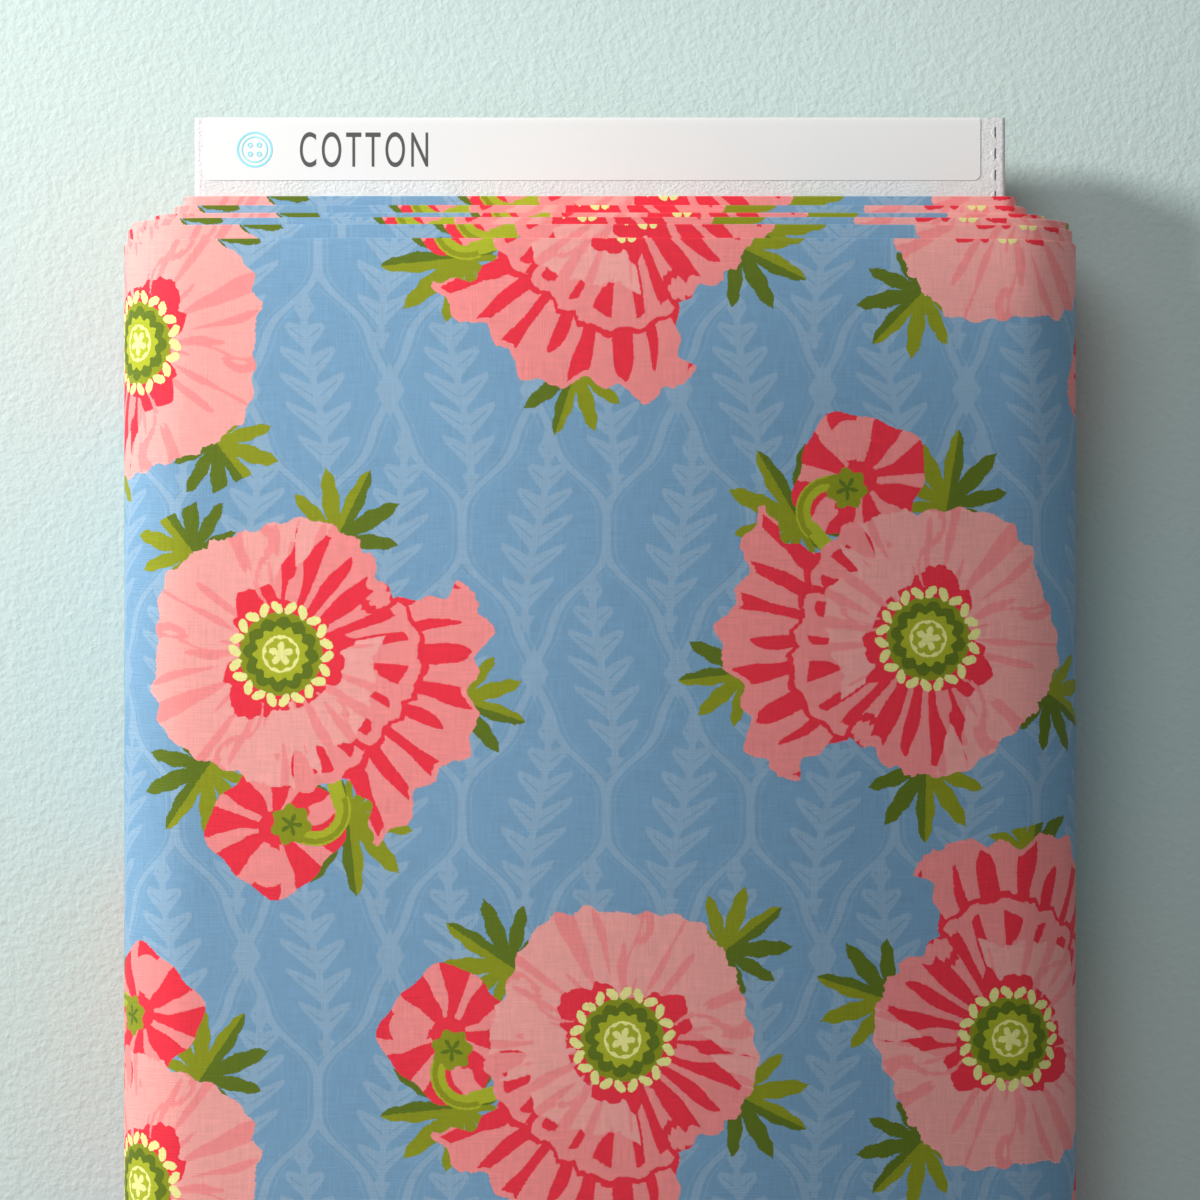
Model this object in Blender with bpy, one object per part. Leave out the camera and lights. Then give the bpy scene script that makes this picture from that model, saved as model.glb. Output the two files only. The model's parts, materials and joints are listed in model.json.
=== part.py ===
"""Fabric bolt: doubled quilting cloth wound on a folded cardboard bolt board.

The bolt lies on its back. X runs across it, Y along it with the label end at +Y, and Z through
its thickness. The origin is at the centre of its underside. The cloth is a nest of turns, each
tier stepped a little further from the label end than the one inside it. The board slides out
along Y, the last turn of cloth unrolls to the left, and the board's far end flap folds open.
"""

import math

import bmesh
import bpy
from mathutils import Matrix

# Board, in metres
BOARD_WIDTH = 0.190
BOARD_DEPTH = 0.019
BOARD_LENGTH = 0.584
CARD = 0.0016                 # thickness of the cardboard
CARD_CORNER = 0.0010          # outside radius of the board's long creases
WALL_SETBACK = 0.0026         # side walls stop this far short of the board's ends
RIB_SETBACK = 0.024           # the middle ribs stop this far short of the board's ends
TONGUE_REACH = 0.012          # how far an end tongue tucks in behind the back panels
TONGUE_SIDE_ROOM = 0.004      # room between a tongue and the side walls
TONGUE_CORNER = 0.003

# Label, a sticker folded over the board's end
LABEL_WIDTH = 0.182
LABEL_OFFSET = -0.0019        # the label sits a little to the left
LABEL_LEG = 0.01475           # how far it runs down the front and the back
LABEL_CORNER = 0.0016
LABEL_PAPER = 0.0004

# Cloth, folded double across its width before it is wound
CLOTH_WIDTH = 0.559           # along the bolt, from the fold to the selvedges
TURN = 0.00070                # thickness that one turn of doubled cloth takes up
TIERS = (                     # name, turns in it, distance from the label end to its fold
    ("turns_1_to_3", 3, 0.0188),
    ("turns_4_to_6", 3, 0.0212),
    ("turns_7_to_12", 6, 0.0232),
    ("turns_13_to_19", 7, 0.0250),
    ("turn_20", 1, 0.0262),
)
LAST_TURN_STEP = 0.0299       # distance from the label end to the last turn's fold
FREE_END_DROP = 0.026         # how far the loose end hangs below the top right corner

GAP = 0.0003                  # clearance between neighbouring pieces
ARC_STEPS = 10                # straight facets in a quarter turn

# Sizes that follow from those above
TURNS_IN_TIERS = sum(turns for _, turns, _ in TIERS)
BUILD_UP = (TURNS_IN_TIERS + 1) * TURN + (len(TIERS) + 1) * GAP
HEIGHT = BOARD_DEPTH + 2 * BUILD_UP
HALF_WIDTH = BOARD_WIDTH / 2 + BUILD_UP
LENGTH = GAP + LABEL_PAPER + max(BOARD_LENGTH, LAST_TURN_STEP + CLOTH_WIDTH)
BOARD_TOP = LENGTH / 2 - GAP - LABEL_PAPER
BOARD_FOOT = BOARD_TOP - BOARD_LENGTH
BOARD_BACK = BUILD_UP
BOARD_FRONT = BUILD_UP + BOARD_DEPTH
HALF_BOARD = BOARD_WIDTH / 2
LAST_RADIUS = CARD_CORNER + BUILD_UP
INSIDE_BACK = BOARD_BACK + CARD + GAP
INSIDE_FRONT = BOARD_FRONT - CARD - GAP
LAST_FOLD = BOARD_TOP - LAST_TURN_STEP

# Where a quarter bend turns about so that it unrolls to its own arc length
BEND_INSET = LAST_RADIUS * (1 - math.pi / 4)
FLAP_AXIS_HEIGHT = BOARD_FRONT - CARD - GAP / 2
TONGUE_AXIS = (BOARD_FOOT + CARD, INSIDE_BACK + CARD)

CARD_GREY = (0.80, 0.80, 0.79, 1.0)
PAPER_WHITE = (0.90, 0.89, 0.86, 1.0)
CLOTH_BLUE = (0.17, 0.33, 0.49, 1.0)


def clear_scene():
    for item in list(bpy.data.objects):
        bpy.data.objects.remove(item, do_unlink=True)


def new_collection(name):
    collection = bpy.data.collections.new(name)
    bpy.context.scene.collection.children.link(collection)
    return collection


def finish_material(item, colour, roughness):
    material = bpy.data.materials.new(item.name + "_finish")
    material.use_nodes = True
    shader = material.node_tree.nodes["Principled BSDF"]
    shader.inputs["Base Color"].default_value = colour
    shader.inputs["Roughness"].default_value = roughness
    shader.inputs["Metallic"].default_value = 0.0
    material.diffuse_color = colour
    item.data.materials.clear()
    item.data.materials.append(material)


def arc(centre, radius, start_degrees, end_degrees):
    """Points on a circle from one angle to another, ends included."""
    points = []
    for step in range(ARC_STEPS + 1):
        turn = math.radians(start_degrees + (end_degrees - start_degrees) * step / ARC_STEPS)
        points.append((centre[0] + radius * math.cos(turn), centre[1] + radius * math.sin(turn)))
    return points


def rounded_rectangle(low, high, radii):
    """A rectangle with its own radius at the low left, low right, high right and high left."""
    corners = ((low[0], low[1]), (high[0], low[1]), (high[0], high[1]), (low[0], high[1]))
    inward = ((1, 1), (-1, 1), (-1, -1), (1, -1))
    points = []
    for index, (corner, way, radius) in enumerate(zip(corners, inward, radii)):
        if radius == 0:
            points.append(corner)
            continue
        centre = (corner[0] + way[0] * radius, corner[1] + way[1] * radius)
        points += arc(centre, radius, 180 + 90 * index, 270 + 90 * index)
    return points


def flat_outline(name, outlines, thickness, collection):
    """A filled 2D curve with the given closed outlines, extruded to a thickness."""
    data = bpy.data.curves.new(name, "CURVE")
    data.dimensions = "2D"
    data.fill_mode = "BOTH"
    data.extrude = thickness / 2
    for outline in outlines:
        spline = data.splines.new("POLY")
        spline.points.add(len(outline) - 1)
        for point, (across, up) in zip(spline.points, outline):
            point.co = (across, up, 0, 1)
        spline.use_cyclic_u = True
    item = bpy.data.objects.new(name, data)
    collection.objects.link(item)
    return item


def section_along_y(name, outlines, y_range, collection):
    """A cross-section drawn in X and Z, run along Y between two places."""
    item = flat_outline(name, outlines, y_range[1] - y_range[0], collection)
    item.rotation_euler = (math.pi / 2, 0, 0)
    item.location = (0, (y_range[0] + y_range[1]) / 2, 0)
    return item


def plan_along_z(name, outlines, z_range, collection):
    """A plan drawn in X and Y, run along Z between two heights."""
    item = flat_outline(name, outlines, z_range[1] - z_range[0], collection)
    item.location = (0, 0, (z_range[0] + z_range[1]) / 2)
    return item


def curve_to_mesh(item, collection):
    """The same solid as a mesh object, so that a Boolean can cut it."""
    depsgraph = bpy.context.evaluated_depsgraph_get()
    data = bpy.data.meshes.new_from_object(item.evaluated_get(depsgraph))
    solid = bmesh.new()
    solid.from_mesh(data)
    bmesh.ops.remove_doubles(solid, verts=solid.verts, dist=0.00001)
    bmesh.ops.recalc_face_normals(solid, faces=solid.faces)
    solid.to_mesh(data)
    solid.free()
    name = item.name
    place = item.matrix_world.copy()
    bpy.data.objects.remove(item, do_unlink=True)
    mesh_item = bpy.data.objects.new(name, data)
    mesh_item.matrix_world = place
    collection.objects.link(mesh_item)
    return mesh_item


def joint_empty(name, location, parent=None):
    """An empty on a joint's axis, which the pieces that move with it hang from."""
    empty = bpy.data.objects.new(name, None)
    empty.empty_display_size = 0.02
    bpy.context.scene.collection.objects.link(empty)
    empty.location = location
    bpy.context.view_layer.update()
    if parent is not None:
        hang(empty, parent)
    return empty


def hang(item, parent):
    bpy.context.view_layer.update()
    item.parent = parent
    item.matrix_parent_inverse = parent.matrix_world.inverted()
    bpy.context.view_layer.update()


def rectangle(x_low, z_low, x_high, z_high):
    return [(x_low, z_low), (x_high, z_low), (x_high, z_high), (x_low, z_high)]


def board_panels(parts):
    """The long panels of the folded blank: front, two walls, two back panels and two ribs."""
    full = (BOARD_FOOT, BOARD_TOP)
    walled = (BOARD_FOOT + WALL_SETBACK, BOARD_TOP - WALL_SETBACK)
    ribbed = (BOARD_FOOT + RIB_SETBACK, BOARD_TOP - RIB_SETBACK)
    front = rounded_rectangle((-HALF_BOARD, BOARD_FRONT - CARD), (HALF_BOARD, BOARD_FRONT),
                              (0, 0, CARD_CORNER, CARD_CORNER))
    panels = [section_along_y("board_front_panel", [front], full, parts)]
    for side, way in (("left", -1), ("right", 1)):
        wall = sorted((way * HALF_BOARD, way * (HALF_BOARD - CARD)))
        panels.append(section_along_y("board_%s_wall" % side, [
            rectangle(wall[0], INSIDE_BACK, wall[1], INSIDE_FRONT)], walled, parts))
        back = sorted((way * HALF_BOARD, way * GAP / 2))
        corners = (CARD_CORNER, 0, 0, 0) if way < 0 else (0, CARD_CORNER, 0, 0)
        panels.append(section_along_y("board_back_%s" % side, [
            rounded_rectangle((back[0], BOARD_BACK), (back[1], BOARD_BACK + CARD), corners)],
            walled, parts))
        rib = sorted((way * GAP / 2, way * (GAP / 2 + CARD)))
        panels.append(section_along_y("centre_rib_%s" % side, [
            rectangle(rib[0], INSIDE_BACK, rib[1], INSIDE_FRONT)], ribbed, parts))
    return panels


def end_closure(name, outside, way, parts):
    """An end panel under the front panel's edge, and the tongue that it tucks in with."""
    inside = outside + way * CARD
    panel = section_along_y(name + "_panel", [
        rectangle(-HALF_BOARD + GAP, BOARD_BACK, HALF_BOARD - GAP, INSIDE_FRONT)],
        sorted((outside, inside)), parts)
    reach = HALF_BOARD - CARD - TONGUE_SIDE_ROOM
    root = inside + way * GAP
    tip = inside + way * TONGUE_REACH
    radii = (0, 0, TONGUE_CORNER, TONGUE_CORNER)
    if way < 0:
        radii = (TONGUE_CORNER, TONGUE_CORNER, 0, 0)
    plan = rounded_rectangle((-reach, min(root, tip)), (reach, max(root, tip)), radii)
    tongue = plan_along_z(name + "_tongue", [plan], (INSIDE_BACK, INSIDE_BACK + CARD), parts)
    return panel, tongue


def label(parts, cutters):
    """The sticker: a U that clasps the board's end, trimmed to round its four free corners."""
    low = BOARD_BACK - GAP - LABEL_PAPER
    high = BOARD_FRONT + GAP + LABEL_PAPER
    skin = BOARD_TOP + GAP
    outer = skin + LABEL_PAPER
    foot = BOARD_TOP - LABEL_LEG
    # Drawn in Y and Z; the clasp is turned to run along X.
    clasp = [(foot, low), (outer, low), (outer, high), (foot, high),
             (foot, high - LABEL_PAPER), (skin, high - LABEL_PAPER),
             (skin, low + LABEL_PAPER), (foot, low + LABEL_PAPER)]
    item = flat_outline("label", [clasp], LABEL_WIDTH, parts)
    item.matrix_world = (Matrix.Translation((LABEL_OFFSET, 0, 0))
                         @ Matrix.Rotation(math.pi / 2, 4, "Z")
                         @ Matrix.Rotation(math.pi / 2, 4, "X"))
    bpy.context.view_layer.update()
    item = curve_to_mesh(item, parts)
    half = LABEL_WIDTH / 2
    trim = rounded_rectangle((LABEL_OFFSET - half, foot), (LABEL_OFFSET + half, outer + CARD),
                             (LABEL_CORNER, LABEL_CORNER, 0, 0))
    cutter = plan_along_z("label_trim", [trim], (low - CARD, high + CARD), cutters)
    bpy.context.view_layer.update()
    cutter = curve_to_mesh(cutter, cutters)
    cutter.hide_render = True
    cutter.display_type = "WIRE"
    cut = item.modifiers.new("round_corners", "BOOLEAN")
    cut.operation = "INTERSECT"
    cut.object = cutter
    return item


def tier_ring(name, offsets, step, parts):
    """A closed tier of turns between two distances from the board."""
    outlines = []
    for offset in offsets:
        radius = CARD_CORNER + offset
        outlines.append(rounded_rectangle(
            (-HALF_BOARD - offset, BOARD_BACK - offset),
            (HALF_BOARD + offset, BOARD_FRONT + offset), (radius,) * 4))
    fold = BOARD_TOP - step
    return section_along_y(name, outlines, (fold - CLOTH_WIDTH, fold), parts)


def wound_tiers(parts):
    tiers = []
    offset = 0.0
    for name, turns, step in TIERS:
        inner = offset + GAP
        offset = inner + turns * TURN
        tiers.append(tier_ring(name, (inner, offset), step, parts))
    return tiers


def band(outer, inner):
    """The closed outline between two paths that run side by side."""
    return outer + list(reversed(inner))


def last_turn(parts):
    """The outermost turn in four stretches: back, left side, face and loose end."""
    span = (LAST_FOLD - CLOTH_WIDTH, LAST_FOLD)
    outer = LAST_RADIUS
    inner = LAST_RADIUS - TURN
    left = -HALF_WIDTH + LAST_RADIUS
    right = HALF_WIDTH - LAST_RADIUS
    low = LAST_RADIUS
    high = HEIGHT - LAST_RADIUS
    back = band([(right, 0)] + arc((left, low), outer, 270, 180),
                [(right, TURN)] + arc((left, low), inner, 270, 180))
    side = band([(-HALF_WIDTH, low + GAP)] + arc((left, high), outer, 180, 90),
                [(-HALF_WIDTH + TURN, low + GAP)] + arc((left, high), inner, 180, 90))
    face = band([(left + GAP, HEIGHT)] + arc((right, high), outer, 90, 0),
                [(left + GAP, HEIGHT - TURN)] + arc((right, high), inner, 90, 0))
    end = rectangle(HALF_WIDTH - TURN, high - FREE_END_DROP, HALF_WIDTH, high - GAP)
    return (section_along_y("last_turn_back", [back], span, parts),
            section_along_y("last_turn_side", [side], span, parts),
            section_along_y("last_turn_face", [face], span, parts),
            section_along_y("last_turn_free_end", [end], span, parts))


def main():
    clear_scene()
    parts = new_collection("fabric_bolt")
    cutters = new_collection("cutters")

    board = board_panels(parts)
    closed_panel, closed_tongue = end_closure("label_end", BOARD_TOP, -1, parts)
    flap_panel, flap_tongue = end_closure("open_end", BOARD_FOOT, 1, parts)
    board += [closed_panel, closed_tongue]
    sticker = label(parts, cutters)
    tiers = wound_tiers(parts)
    back, side, face, free_end = last_turn(parts)

    board_slide = joint_empty("board_slide_axis", (0, 0, HEIGHT / 2))
    for item in board + [sticker]:
        hang(item, board_slide)
    flap_axis = joint_empty("end_flap_axis", (0, BOARD_FOOT, FLAP_AXIS_HEIGHT), board_slide)
    hang(flap_panel, flap_axis)
    tongue_axis = joint_empty("end_tongue_axis", (0,) + TONGUE_AXIS, flap_axis)
    hang(flap_tongue, tongue_axis)

    bend = HALF_WIDTH - BEND_INSET
    side_axis = joint_empty("unroll_side_axis", (-bend, 0, BEND_INSET))
    hang(side, side_axis)
    page_axis = joint_empty("unroll_page_axis", (-bend, 0, HEIGHT - BEND_INSET), side_axis)
    hang(face, page_axis)
    end_axis = joint_empty("unroll_end_axis", (bend, 0, HEIGHT - BEND_INSET), page_axis)
    hang(free_end, end_axis)

    for item in board + [flap_panel, flap_tongue]:
        finish_material(item, CARD_GREY, 0.9)
    finish_material(sticker, PAPER_WHITE, 0.6)
    for item in tiers + [back, side, face, free_end]:
        finish_material(item, CLOTH_BLUE, 0.85)


main()
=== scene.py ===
import json
import math

import bpy
import numpy as np
from bpy.props import FloatProperty, FloatVectorProperty, IntProperty, PointerProperty
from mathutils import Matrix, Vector

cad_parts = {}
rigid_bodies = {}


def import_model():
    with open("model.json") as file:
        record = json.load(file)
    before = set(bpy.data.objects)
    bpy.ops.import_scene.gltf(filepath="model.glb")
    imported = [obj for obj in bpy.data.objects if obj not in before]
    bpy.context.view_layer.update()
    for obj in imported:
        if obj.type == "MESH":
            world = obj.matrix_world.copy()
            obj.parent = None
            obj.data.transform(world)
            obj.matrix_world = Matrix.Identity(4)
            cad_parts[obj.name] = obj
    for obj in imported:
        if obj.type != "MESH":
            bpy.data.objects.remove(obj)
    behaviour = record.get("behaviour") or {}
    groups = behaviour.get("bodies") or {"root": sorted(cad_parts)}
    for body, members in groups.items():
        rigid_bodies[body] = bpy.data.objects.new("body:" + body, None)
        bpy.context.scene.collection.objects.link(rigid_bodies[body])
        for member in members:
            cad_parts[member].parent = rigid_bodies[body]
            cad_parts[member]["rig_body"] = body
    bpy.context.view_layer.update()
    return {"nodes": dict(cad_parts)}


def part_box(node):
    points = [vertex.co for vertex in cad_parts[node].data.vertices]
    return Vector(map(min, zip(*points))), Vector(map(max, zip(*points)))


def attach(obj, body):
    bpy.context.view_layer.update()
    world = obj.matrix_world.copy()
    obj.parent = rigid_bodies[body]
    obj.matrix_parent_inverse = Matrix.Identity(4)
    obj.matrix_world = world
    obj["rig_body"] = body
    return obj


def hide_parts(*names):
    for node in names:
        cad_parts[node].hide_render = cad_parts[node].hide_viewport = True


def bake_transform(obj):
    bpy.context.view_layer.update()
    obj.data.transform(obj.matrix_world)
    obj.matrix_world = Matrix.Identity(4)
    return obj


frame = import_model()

bl_info = {
    "name": "Fabric bolt",
    "version": (1, 0, 0),
    "blender": (4, 5, 0),
    "location": "3D View > Sidebar > Fabric Bolt",
    "description": "Doubled quilting cotton wound on a folded card bolt board",
    "category": "Add Mesh",
}

# Where the frame puts things, in metres
FRONT_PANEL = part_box("board_front_panel")
BACK_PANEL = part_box("board_back_left")
BOARD_TOP = FRONT_PANEL[1].y
BOARD_FRONT = FRONT_PANEL[1].z
BOARD_BACK = BACK_PANEL[0].z
HALF_BOARD = FRONT_PANEL[1].x
CARD_CORNER = 0.0010          # outside radius of the board's long creases
LAST_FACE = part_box("last_turn_face")
HEIGHT = LAST_FACE[1].z
LAST_FOLD = LAST_FACE[1].y
FREE_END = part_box("last_turn_free_end")
LABEL_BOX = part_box("label")

# The rounded rectangle that every turn is wound round, inside its own radius
CORE_X = HALF_BOARD - CARD_CORNER
CORE_LOW = BOARD_BACK + CARD_CORNER
CORE_HIGH = BOARD_FRONT - CARD_CORNER

TIERS = (
    ("turns_1_to_3", 3),
    ("turns_4_to_6", 3),
    ("turns_7_to_12", 6),
    ("turns_13_to_19", 7),
    ("turn_20", 1),
)
TURNS = sum(count for _, count in TIERS)
PRINT_SLIP = (0.010, -0.006, 0.013, -0.009, 0.005)    # how far each tier's print has crept along the cloth

# The print, in millimetres: its repeat, where each flower is in it and the degrees that it faces, and in a
# flower's own axes where each leaf starts, the degrees that it points and its length
REPEAT = (265.0, 195.0)
FLOWERS = (
    (-73.3, -95.2, -20.0),
    (75.4, -91.7, 185.0),
    (5.2, 11.3, 250.0),
    (94.4, 11.3, 78.0),
    (-108.5, -23.3, 160.0),
)
LEAVES = (
    (3.0, 29.0, 84.0, 17.0),
    (42.0, 4.0, 2.0, 15.5),
    (-7.0, -30.0, -104.0, 17.0),
    (27.0, -29.0, -64.0, 18.5),
    (-27.0, 15.0, 148.0, 16.0),
)
BLOOM_RADIUS, FAN_RADIUS, BUD_RADIUS, SEED_HEAD_RADIUS = 30.6, 46.5, 15.0, 9.6
BUD, BUD_SPOT = (12.5, -38.0, 0.0), (14.0, -47.0, 0.0)    # middles of the bud and of its dark spot
HOOK, POD = (19.6, -31.0, 0.0), (15.6, -36.0, 0.0)        # middles of the stem's curl and of its seed pod
TRELLIS = (33.1, 65.0)        # spacing across the cloth and along it
TRELLIS_START = (48.2, 34.6)  # from the cloth's own origin to the first meeting of its lines
SELVEDGE = 9.0                # unprinted band
WEAVE_REPEAT = 0.58           # two threads, both ways

# Metres
INK_HEIGHT = 0.00019          # underside of the ink above the board's face
INK_THICKNESS = 0.00003
LETTERING = (-0.0703, 0.0300, 0.0082)    # left end, width and height of the word
EMBLEM_X, EMBLEM_DROP = -0.0809, 0.0075  # middle of the emblem, across and down from the board's end


# ---------------------------------------------------------------- settings

def length_setting(name, description, default):
    return FloatProperty(name=name, description=description, default=default, unit="LENGTH")


def colour_setting(name, description, default):
    return FloatVectorProperty(name=name, description=description, default=default, subtype="COLOR", size=3)


class BoltCloth(bpy.types.PropertyGroup):
    width: length_setting("Folded width", "From the fold to the selvedges", 0.559)
    ply: length_setting("Ply", "Thickness of one layer of the cotton", 0.00026)
    doubled: length_setting("Doubled", "Thickness of the two layers together", 0.00060)
    lining: length_setting("First turn", "Room between the board and the first turn", 0.00035)
    crown: length_setting("Crown", "How far the face falls away at its long edges", 0.0036)
    bend_facets: IntProperty(name="Bends", description="Facets in each bend of the last turn", default=14)
    ground: colour_setting("Ground", "Blue that the cloth is printed with", (0.180, 0.345, 0.525))
    trellis: colour_setting("Trellis", "Paler blue of the trellis and sprigs", (0.255, 0.405, 0.560))
    pale_pink: colour_setting("Pale pink", "Lightest petals", (0.900, 0.375, 0.350))
    pink: colour_setting("Pink", "Deeper petals", (0.900, 0.270, 0.265))
    red: colour_setting("Red", "Streaks in the petals", (0.860, 0.024, 0.052))
    leaf: colour_setting("Leaf", "Dark side of a leaf", (0.105, 0.160, 0.002))
    olive: colour_setting("Olive", "Light side of a leaf", (0.255, 0.290, 0.002))
    lime: colour_setting("Lime", "Stems and seed heads", (0.400, 0.440, 0.012))
    yellow: colour_setting("Pale yellow", "Anthers round a seed head", (0.840, 0.810, 0.300))
    wrong_side: colour_setting("Wrong side", "Unprinted, where the blue shows through", (0.420, 0.520, 0.600))


class BoltBoard(bpy.types.PropertyGroup):
    card: colour_setting("Card", "Grey-white pulp card", (0.790, 0.795, 0.790))
    paper: colour_setting("Label paper", "Coated sticker paper", (0.790, 0.785, 0.775))
    paper_thickness: length_setting("Label thickness", "Thickness of the sticker", 0.00012)
    crease: length_setting("Crease", "Distance of the cut crease from the board's right edge", 0.0024)
    slit_pitch: length_setting("Slit pitch", "Spacing of the cuts along the crease", 0.0050)
    emblem_blue: colour_setting("Emblem", "Line colour of the button emblem", (0.275, 0.720, 0.840))
    ink: colour_setting("Ink", "Colour of the lettering", (0.070, 0.070, 0.072))


class BoltStudio(bpy.types.PropertyGroup):
    wall: colour_setting("Backdrop", "Pale mint plaster", (0.530, 0.635, 0.610))
    key: FloatProperty(name="Key light", description="Power of the low light", default=12.2, unit="POWER")
    fill: FloatProperty(name="Fill", description="Strength of the light from all round", default=0.24)
    distance: length_setting("Camera height", "Camera above the face of the cloth", 0.780)
    lens: FloatProperty(name="Lens", description="Focal length", default=102.0, unit="CAMERA")


# ---------------------------------------------------------------- materials

class Value:
    """A socket in a material. Arithmetic on it adds Math nodes, so a pattern reads as a formula."""

    def __init__(self, finish, socket):
        self.finish, self.socket = finish, socket

    def math(self, operation, *others):
        return self.finish.math(operation, self, *others)

    def __add__(self, other):
        return self.math("ADD", other)

    def __radd__(self, other):
        return self.finish.math("ADD", other, self)

    def __sub__(self, other):
        return self.math("SUBTRACT", other)

    def __rsub__(self, other):
        return self.finish.math("SUBTRACT", other, self)

    def __mul__(self, other):
        return self.math("MULTIPLY", other)

    def __rmul__(self, other):
        return self.finish.math("MULTIPLY", other, self)

    def __truediv__(self, other):
        return self.math("DIVIDE", other)

    def __rtruediv__(self, other):
        return self.finish.math("DIVIDE", other, self)

    def __neg__(self):
        return self.math("MULTIPLY", -1.0)

    def __abs__(self):
        return self.math("ABSOLUTE")

    def __pow__(self, other):
        return self.math("POWER", other)

    def __rpow__(self, other):
        return self.finish.math("POWER", other, self)

    def __lt__(self, other):
        return self.math("LESS_THAN", other)

    def __gt__(self, other):
        return self.math("GREATER_THAN", other)

    def sin(self):
        return self.math("SINE")

    def least(self, other):
        return self.math("MINIMUM", other)

    def most(self, other):
        return self.math("MAXIMUM", other)

    def wrap(self, high, low):
        return self.math("WRAP", high, low)

    def ramp(self, low, high):
        """0 at low, 1 at high, straight between and held beyond."""
        slope = 1.0 / (high - low)
        return self.finish.math("MULTIPLY_ADD", self, slope, -low * slope, clamp=True)


class Finish:
    """A material being made: its tree, its shader, and one method that adds any node."""

    def __init__(self, name, **sockets):
        self.material = bpy.data.materials.new(name)
        self.material.use_nodes = True
        self.tree = self.material.node_tree
        self.shader = self.tree.nodes["Principled BSDF"]
        for socket, value in sockets.items():
            self.feed(socket.replace("_", " "), value)

    def node(self, kind, settings=None, sockets=None, output=0):
        """Adds a node: its settings first, then values or links for its sockets. Gives one output."""
        made = self.tree.nodes.new(kind)
        for name, value in (settings or {}).items():
            setattr(made, name, value)
        for name, value in (sockets or {}).items():
            self.plug(made.inputs[name], value)
        return Value(self, made.outputs[output])

    def plug(self, socket, value):
        if isinstance(value, Value):
            self.tree.links.new(value.socket, socket)
        elif hasattr(socket.default_value, "__len__") and len(value) == 3 and len(socket.default_value) == 4:
            socket.default_value = (*value, 1.0)
        else:
            socket.default_value = value

    def math(self, operation, *values, clamp=False):
        settings = {"operation": operation, "use_clamp": clamp}
        return self.node("ShaderNodeMath", settings, dict(enumerate(values)))

    def vector(self, operation, *values, output=0):
        return self.node("ShaderNodeVectorMath", {"operation": operation}, dict(enumerate(values)), output)

    def point(self, x, y, z=0.0):
        return self.node("ShaderNodeCombineXYZ", None, {0: x, 1: y, 2: z})

    def parts(self, vector):
        made = self.tree.nodes.new("ShaderNodeSeparateXYZ")
        self.plug(made.inputs[0], vector)
        return [Value(self, made.outputs[i]) for i in range(3)]

    def turn(self, vector, degrees):
        sockets = {"Vector": vector, "Angle": math.radians(degrees)}
        return self.node("ShaderNodeVectorRotate", {"rotation_type": "Z_AXIS"}, sockets)

    def noise(self, vector, scale, detail=2.0, roughness=0.5, output=0):
        sockets = {"Vector": vector, "Scale": scale, "Detail": detail, "Roughness": roughness}
        return self.node("ShaderNodeTexNoise", None, sockets, output)

    def blend(self, share, first, second):
        """Second laid over first, as colours."""
        return self.node("ShaderNodeMix", {"data_type": "RGBA"}, {0: share, 6: first, 7: second}, 2)

    def choose(self, share, first, second):
        """Second in place of first, as places."""
        return self.node("ShaderNodeMix", {"data_type": "VECTOR"}, {0: share, 4: first, 5: second}, 1)

    def shade(self, colour, amount):
        """A colour made darker or lighter by a number near 1."""
        return self.vector("MULTIPLY", colour, self.point(amount, amount, amount))

    def feed(self, name, value):
        self.plug(self.shader.inputs[name], value)

    def bump(self, height, distance, strength=1.0):
        sockets = {"Height": height, "Distance": distance, "Strength": strength}
        self.feed("Normal", self.node("ShaderNodeBump", None, sockets))

    def place(self, output=3):
        """Object coordinates, or 2 for the piece's own cloth coordinates."""
        return self.node("ShaderNodeTexCoord", None, None, output)


def nearest_motif(finish, place, motifs, repeat=None):
    """A place as the nearest motif, or repeat of one, sees it: from its own middle and turned its own way."""
    local, best = None, None
    for x, y, degrees in motifs:
        away = finish.vector("SUBTRACT", place, (x, y, 0.0))
        if repeat:
            half = (repeat[0] / 2, repeat[1] / 2, 1.0)
            away = finish.vector("WRAP", away, half, tuple(-h for h in half))
        far = finish.vector("LENGTH", away, output=1)
        turned = finish.turn(away, -degrees)
        if local is None:
            local, best = turned, far
        else:
            local = finish.choose(far < best, local, turned)
            best = best.least(far)
    return local


def polar(finish, place):
    """Distance from the middle, and the angle round it in radians."""
    x, y, _ = finish.parts(place)
    return finish.vector("LENGTH", place, output=1), y.math("ARCTAN2", x)


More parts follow.
